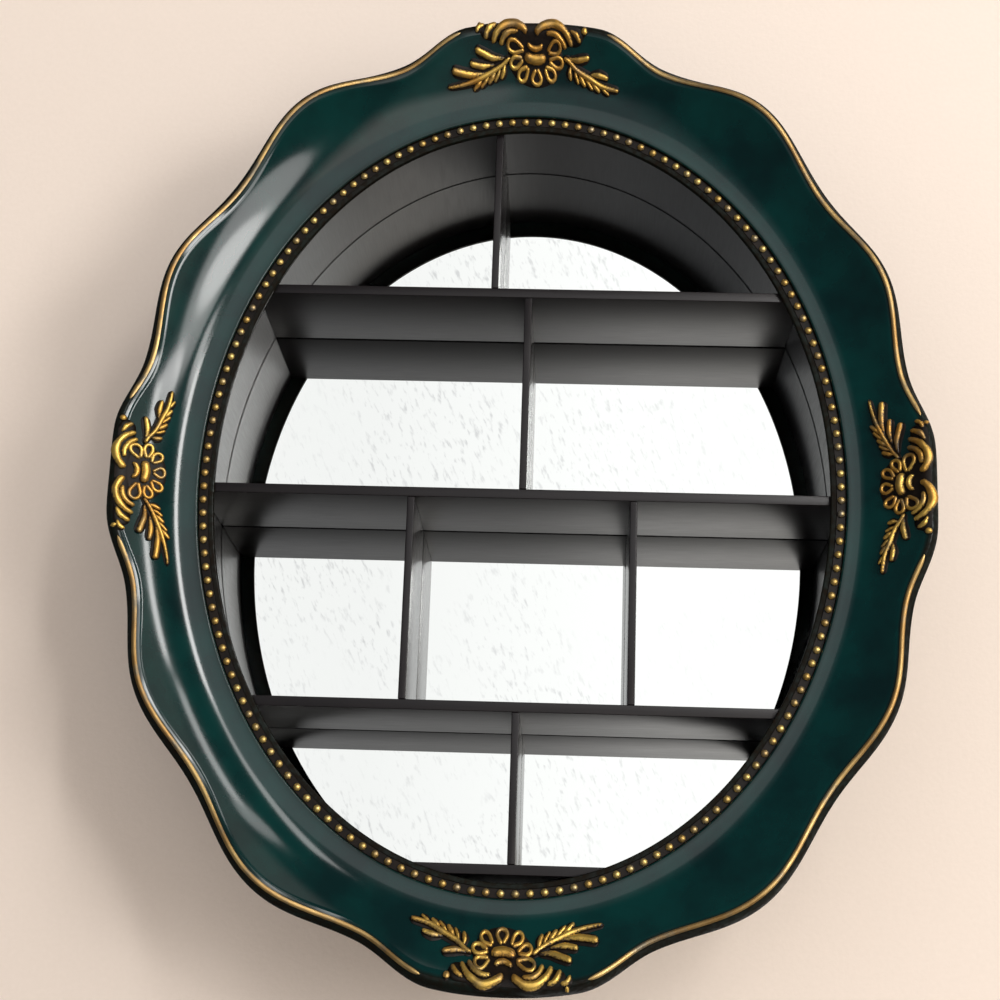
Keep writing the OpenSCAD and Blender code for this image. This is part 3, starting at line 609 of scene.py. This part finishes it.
def buildOvalWall():
    # the wall's own ovals, a little taller than the opening's
    s, edge, stations = shelf, wallSet["edge"], wallSet["stations"]
    rings = [(0, 0.0), (s["wall"] - edge, 0.0), (s["wall"], edge), (s["wall"], s["caseDepth"] - edge),
             (s["wall"] - edge, s["caseDepth"]), (edge, s["caseDepth"]), (0, s["caseDepth"] - edge)]
    count = len(rings)
    bm = bmesh.new()
    bmesh.ops.create_grid(bm, x_segments=stations, y_segments=count, size=0.5)
    for vert in bm.verts:
        angle = 2 * pi * (round((vert.co.x + 0.5) * stations) % stations) / stations
        out, depth = rings[round((vert.co.y + 0.5) * count) % count]
        vert.co = Vector(((s["caseA"] + out) * cos(angle), -depth, (s["caseB"] + out) * sin(angle))) * mm
    bmesh.ops.remove_doubles(bm, verts=bm.verts, dist=1e-7)
    bmesh.ops.recalc_face_normals(bm, faces=bm.faces)
    keepPiece("caseWall", bm, stainCase, "dark_stain", "case_wall")


buildOvalWall()

# Mirror plate: its silvering lies behind the front of the glass, so a dark line parts boards and reflections
mirrorSet = {"silverBehind": 1.3, "clear": 0.4, "stations": 360}


def buildMirror():
    s, m = shelf, mirrorSet
    bm = bmesh.new()
    bmesh.ops.create_circle(bm, cap_ends=True, segments=m["stations"], radius=1.0)
    turn = Matrix.Rotation(pi / 2, 4, "X")
    size = Matrix.Diagonal(((s["caseA"] - m["clear"]) * mm, 1, (s["caseB"] - m["clear"]) * mm, 1))
    bmesh.ops.transform(bm, matrix=Matrix.Translation((0, -s["board"] * mm, 0)) @ size @ turn, verts=bm.verts)
    made = bmesh.ops.extrude_face_region(bm, geom=bm.faces[:])
    moved = [g for g in made["geom"] if isinstance(g, bmesh.types.BMVert)]
    thick = s["mirrorFront"] - s["board"] - m["silverBehind"]
    bmesh.ops.translate(bm, vec=(0, -thick * mm, 0), verts=moved)
    bmesh.ops.recalc_face_normals(bm, faces=bm.faces)
    keepPiece("mirrorPlate", bm, silver, "mirror", "mirror_glass")


buildMirror()

# Boards: size and place in millimetres, ends trimmed to the bent wall
boardSet = {"edge": 0.45, "shelfT": 6.0, "dividerT": 4.5, "depth": 78.5, "overlong": 5.0}
shelfHeights = {"upper": 127.2, "middle": -3.4, "lower": -134.0, "base": -228.6}
# each divider: place across, and the shelves above and below it
dividers = {"Crown": (-20.3, None, "upper"), "Upper": (1.0, "upper", "middle"),
            "LowerLeft": (-66.5, "middle", "lower"), "LowerRight": (68.5, "middle", "lower"),
            "Base": (1.0, "lower", "base")}
dividerNodes = {"Crown": "divider_crown", "Upper": "divider_upper", "LowerLeft": "divider_lower_left",
                "LowerRight": "divider_lower_right", "Base": "divider_base"}


def trimToWall(bm, along):
    # cuts the ends that stand past the case wall; along is 0 for shelves and 2 for dividers
    a, b = shelf["caseA"] - shelf["gap"], shelf["caseB"] - shelf["gap"]
    faces = [pick(v.co[2 - along] for v in bm.verts) / mm for pick in (min, max)]
    for side in (-1, 1):
        ends = []
        for place in faces:
            if along == 0:
                ends.append(Vector((side * a * sqrt(1 - (place / b) ** 2), 0, place)) * mm)
            else:
                ends.append(Vector((place, 0, side * b * sqrt(1 - (place / a) ** 2))) * mm)
        line = (ends[1] - ends[0]).normalized()
        outward = Vector((line.z, 0, -line.x))
        if outward[along] * side < 0:
            outward.negate()
        geometry = bm.verts[:] + bm.edges[:] + bm.faces[:]
        cut = bmesh.ops.bisect_plane(bm, geom=geometry, plane_co=ends[0], plane_no=outward, clear_outer=True)
        loose = [g for g in cut["geom_cut"] if isinstance(g, bmesh.types.BMEdge)]
        if loose:
            bmesh.ops.holes_fill(bm, edges=loose, sides=0)


def buildBoard(name, low, high, along, material, node):
    bm = bmesh.new()
    bmesh.ops.create_cube(bm, size=1.0)
    size = [(h - l) * mm for l, h in zip(low, high)]
    centre = Vector([(h + l) / 2 * mm for l, h in zip(low, high)])
    bmesh.ops.transform(bm, matrix=Matrix.Translation(centre) @ Matrix.Diagonal((*size, 1)), verts=bm.verts)
    trimToWall(bm, along)
    bmesh.ops.recalc_face_normals(bm, faces=bm.faces)
    bmesh.ops.bevel(bm, geom=bm.edges[:] + bm.verts[:], offset=boardSet["edge"] * mm, offset_type="OFFSET",
                    segments=3, profile=0.5, affect="EDGES", material=-1)
    keepPiece(name, bm, material, "dark_stain", node)


def buildBoards():
    b, s = boardSet, shelf
    front, back = -(s["mirrorFront"] + b["depth"]), -s["mirrorFront"]
    reach, half = s["caseA"] + b["overlong"], b["shelfT"] / 2
    for name, z in shelfHeights.items():
        low, high = (-reach, front, z - half), (reach, back, z + half)
        buildBoard("shelf" + name.capitalize(), low, high, 0, stainAcross, "shelf_" + name)
    for name, (x, above, below) in dividers.items():
        top = shelfHeights[above] - half - s["gap"] if above else s["caseB"] + b["overlong"]
        foot = shelfHeights[below] + half + s["gap"]
        low, high = (x - b["dividerT"] / 2, front, foot), (x + b["dividerT"] / 2, back, top)
        buildBoard("divider" + name, low, high, 2, stainUpright, dividerNodes[name])


buildBoards()

# The plain pieces keep the frame's meshes
steelPieces = ("hanger_left", "hanger_right", "hanger_screws", "corner_brackets", "bracket_case_screws",
               "bracket_frame_screws", "board_screws", "shelf_pins")
for nodeName in ("back_board",) + steelPieces:
    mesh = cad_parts[nodeName].data
    mesh.materials.clear()
    mesh.materials.append(zinc if nodeName in steelPieces else hardboard)
print("case, mirror and boards made")

# The room: a pale wall and floor, a pale ceiling that only reflections see, and soft lamps
roomSet = {"wall": "#fdeee1", "wallShade": "#f7e8da", "floor": "#d6cec4", "floorShade": "#cbc2b6", "stippleMm": 3,
           "stippleDepthMm": 0.15, "wallAtMm": 0.4, "floorAtMm": -1100.0, "wallHalf": (3, 2), "wallMiddle": 0.4,
           "floorHalf": (4, 4)}


def stagePlane(name, material, matrix):
    bm = bmesh.new()
    bmesh.ops.create_grid(bm, x_segments=1, y_segments=1, size=1.0)
    bmesh.ops.transform(bm, matrix=matrix, verts=bm.verts)
    mesh = bpy.data.meshes.new(name)
    bm.to_mesh(mesh)
    bm.free()
    mesh.materials.append(material)
    plane = bpy.data.objects.new(name, mesh)
    scene.collection.objects.link(plane)
    return plane


# Flat wall paint, rolled on: a faint stipple; from behind it is clear, so the other views aren't blocked
def makePaint(name, colour, shade):
    r, material = roomSet, newMaterial(name)
    stipple = speckle(material, r["stippleMm"], 4)
    shaded = addNode(material, "MapRange", (stipple, 0.3, 0.7, 0.0, 0.35))
    tones = {0: shaded, 6: toLinear(colour), 7: toLinear(shade)}
    tone = addNode(material, "Mix", tones, data_type="RGBA").outputs[2]
    rolled = addNode(material, "Bump", {"Height": stipple, "Distance": r["stippleDepthMm"] * mm})
    paint = addNode(material, "BsdfDiffuse", {"Color": tone, "Normal": rolled})
    behind = addNode(material, "NewGeometry").outputs["Backfacing"]
    mixed = addNode(material, "MixShader", (behind, paint, addNode(material, "BsdfTransparent")))
    addNode(material, "OutputMaterial", {"Surface": mixed})
    return material


# Daubed white plaster, seen only in reflections: short slanting trowel marks, in patches, as painted shade
# a glowing card, painted light for the lit ceiling, dimmer towards the left end
ceilingSet = {"azimuth": 2, "elevation": 15, "distance": 2.4, "half": (0.72, 0.62), "brightness": 1.13,
              "farBrightness": 0.88, "slant": -22, "drawnOut": 4.5, "markMm": 7.5, "patchMm": 230,
              "white": (1.0, 1.0, 1.0, 1), "markShade": (0.74, 0.74, 0.75, 1)}


def makeCeiling():
    c, material = ceilingSet, newMaterial("glowingCeilingPlaster")
    place = addNode(material, "TexCoord").outputs["Object"]
    across = addNode(material, "SeparateXYZ", (place,))
    slant = {"Vector": place, "Rotation": (0.0, radians(c["slant"]), 0.0), "Scale": (1.0, 1.0, c["drawnOut"])}
    slanted = addNode(material, "Mapping", slant, vector_type="TEXTURE")
    size = {"Scale": 1 / (c["markMm"] * mm), "Detail": 2.5, "Roughness": 0.6}
    daubs = addNode(material, "TexNoise", {"Vector": slanted, **size})
    marks = addNode(material, "MapRange", (daubs, 0.55, 0.72))
    patches = addNode(material, "MapRange", (speckle(material, c["patchMm"], 2), 0.36, 0.56))
    # the painted relief shade fades where the lamps light the card
    fading = addNode(material, "MapRange", (across, -0.05, 0.3, 1.0, 0.45))  # fewer marks near the lamps
    shown = addNode(material, "Math", (marks, patches), operation="MULTIPLY")
    shown = addNode(material, "Math", (shown, fading), operation="MULTIPLY")
    shade = addNode(material, "Mix", {0: shown, 6: c["white"], 7: c["markShade"]}, data_type="RGBA").outputs[2]
    # painted light: the card glows, dimmer towards the left end
    ends = (c["farBrightness"] * c["brightness"], c["brightness"])
    glow = addNode(material, "Emission", (shade, addNode(material, "MapRange", (across, -0.35, 0.15, *ends))))
    glossy = addNode(material, "LightPath").outputs["Is Glossy Ray"]
    mixed = addNode(material, "MixShader", (glossy, addNode(material, "BsdfTransparent"), glow))
    addNode(material, "OutputMaterial", {"Surface": mixed})
    return material


def towards(azimuth, elevation, distance, start=(0, 0, 0)):
    # a place seen from the object, azimuth to the right of straight ahead
    a, e = radians(azimuth), radians(elevation)
    return Vector(start) + Vector((sin(a) * cos(e), -cos(a) * cos(e), sin(e))) * distance


def facing(place):
    return Matrix.Translation(place) @ (-place).to_track_quat("Z", "Y").to_matrix().to_4x4()


# Soft even light; what shines in the lacquer is a dim room, darker on the left. Each range is in turns to the
# right in radians or in heights from -1 to 1, with how light the room is at both ends
airSet = {"left": 0.6, "right": 0.52, "cool": "#f3f7ff", "warm": "#fff5ea", "dim": 0.08, "middle": 0.55,
          "fromLeft": (-0.5, -0.25), "toRight": (0.4, 0.55, 1.0, 0.0), "overhead": (0.5, 0.7, 1.0, 0.0),
          "isLow": (-0.02, -0.08), "lowest": (-0.5, -0.38, 0.18, 1.4), "lowRight": (-0.01, 0.05, 0.35, 1.0),
          "farRight": (0.98, 1.1, 0.0, 0.55)}


def buildAir():
    a, world = airSet, bpy.data.worlds.new("studioAir")
    scene.world = world
    world.use_nodes = True
    world.node_tree.nodes.clear()
    split = addNode(world, "SeparateXYZ", (addNode(world, "TexCoord").outputs["Generated"],))
    across, depth, height = split.outputs
    ahead = addNode(world, "Math", (depth, -1.0), operation="MULTIPLY")
    turned = addNode(world, "Math", (across, ahead), operation="ARCTAN2")
    places = {"fromLeft": turned, "toRight": turned, "overhead": height, "isLow": height, "lowest": height,
              "lowRight": turned, "farRight": turned}
    seen = {name: addNode(world, "MapRange", (place, *a[name])) for name, place in places.items()}
    # light straight ahead; low down it is brighter, mostly on the right
    front = addNode(world, "Math", (seen["fromLeft"], seen["toRight"]), operation="MULTIPLY")
    front = addNode(world, "Math", (front, seen["overhead"]), operation="MULTIPLY")
    low = addNode(world, "Math", (seen["lowRight"], seen["lowest"]), operation="MULTIPLY")
    level = addNode(world, "Mix", {0: seen["isLow"], 2: a["middle"], 3: low}, data_type="FLOAT")
    sheen = addNode(world, "Math", (front, level), operation="MULTIPLY")
    sheen = addNode(world, "Math", (sheen, seen["farRight"]), operation="ADD")
    sheen = addNode(world, "Math", (sheen, a["dim"]), operation="ADD")
    soft = addNode(world, "MapRange", (across, -0.7, 0.7, a["left"], a["right"]))
    warmer = addNode(world, "MapRange", (across, -0.6, 0.6))
    tones = {0: warmer, 6: toLinear(a["cool"]), 7: toLinear(a["warm"])}
    tint = addNode(world, "Mix", tones, data_type="RGBA").outputs[2]
    glossy = addNode(world, "LightPath").outputs["Is Glossy Ray"]
    strength = addNode(world, "Mix", {0: glossy, 2: soft, 3: sheen}, data_type="FLOAT")
    air = addNode(world, "Background", (tint, strength))
    addNode(world, "OutputWorld", {"Surface": air})


def buildRoom():
    r, c = roomSet, ceilingSet
    upright = Matrix.Translation((0, r["wallAtMm"] * mm, r["wallMiddle"])) @ Matrix.Rotation(pi / 2, 4, "X")
    wall = stagePlane("backdropWall", makePaint("paintedWall", r["wall"], r["wallShade"]),
                      upright @ Matrix.Diagonal((*r["wallHalf"], 1, 1)))
    wall.visible_shadow = wall.visible_diffuse = wall.visible_glossy = False
    level = Matrix.Translation((0, 0, r["floorAtMm"] * mm)) @ Matrix.Diagonal((*r["floorHalf"], 1, 1))
    floor = stagePlane("backdropFloor", makePaint("paintedFloor", r["floor"], r["floorShade"]), level)
    floor.visible_glossy = False
    above = facing(towards(c["azimuth"], c["elevation"], c["distance"]))
    stagePlane("reflectedCeiling", makeCeiling(), above @ Matrix.Diagonal((*c["half"], 1, 1)))
    buildAir()


# A window to the right with its blind half down, as the left of the scoop mirrors it
windowSet = {"distance": 3.4, "seenFrom": (-0.2, -0.1, 0.0), "perBrightness": 4.0, "colour": (1.0, 0.99, 0.975)}
# each lamp: name, azimuth, elevation, width, height, brightness, shape
windows = (("windowLeftLow", 29, 18.5, 0.25, 0.9, 14, "RECTANGLE"),
           ("windowLeftHigh", 27, 34, 0.28, 0.9, 4.5, "RECTANGLE"),
           ("windowCatch", 33, 10, 0.34, 0.3, 7, "ELLIPSE"), ("windowPane", 43.5, -0.5, 0.9, 0.6, 6, "ELLIPSE"),
           ("windowGlow", 44.5, -3, 1.2, 1.6, 3.5, "ELLIPSE"), ("windowTop", 50.5, 9.5, 0.6, 0.3, 8, "ELLIPSE"),
           ("windowRightLow", 56.5, 20, 0.17, 1.3, 12, "RECTANGLE"),
           ("windowRightHigh", 54, 38, 0.2, 0.7, 6, "RECTANGLE"),
           ("windowCorner", 52, 46, 0.55, 0.3, 3, "ELLIPSE"))


def buildLamps():
    w = windowSet
    for name, azimuth, elevation, width, height, brightness, shape in windows:
        area = width * height * (pi / 4 if shape == "ELLIPSE" else 1)
        place = towards(azimuth, elevation, w["distance"], w["seenFrom"])
        lamp = bpy.data.lights.new(name, "AREA")
        lamp.shape, lamp.size, lamp.size_y = shape, width, height
        lamp.energy, lamp.color = brightness * w["perBrightness"] * area, w["colour"]
        hung = bpy.data.objects.new(name, lamp)
        back = Vector(w["seenFrom"]) - place
        hung.matrix_world = Matrix.Translation(place) @ back.to_track_quat("-Z", "Y").to_matrix().to_4x4()
        scene.collection.objects.link(hung)


# Its place, axes and lens, in millimetres, from a fit of the ovals and shelf edges to the photograph
cameraSet = {"place": (35.63, -1241.05, -341.24), "right": (0.99893, 0.03213, 0.03320),
             "lens": 71.28, "film": 36.0, "ahead": (-0.04012, 0.95967, 0.27826),
             "up": (-0.02292, -0.27930, 0.95993)}


def buildCamera():
    c, data = cameraSet, bpy.data.cameras.new("viewpoint")
    data.sensor_width, data.lens = c["film"], c["lens"]
    camera = bpy.data.objects.new("viewpoint", data)
    turned = Matrix((c["right"], c["up"], [-axis for axis in c["ahead"]])).transposed().to_4x4()
    camera.matrix_world = Matrix.Translation(Vector(c["place"]) * mm) @ turned
    scene.collection.objects.link(camera)
    bpy.context.scene.camera = camera


buildRoom()
buildLamps()
buildCamera()
scene.view_settings.view_transform = "Standard"
print("room, lamps and camera made")
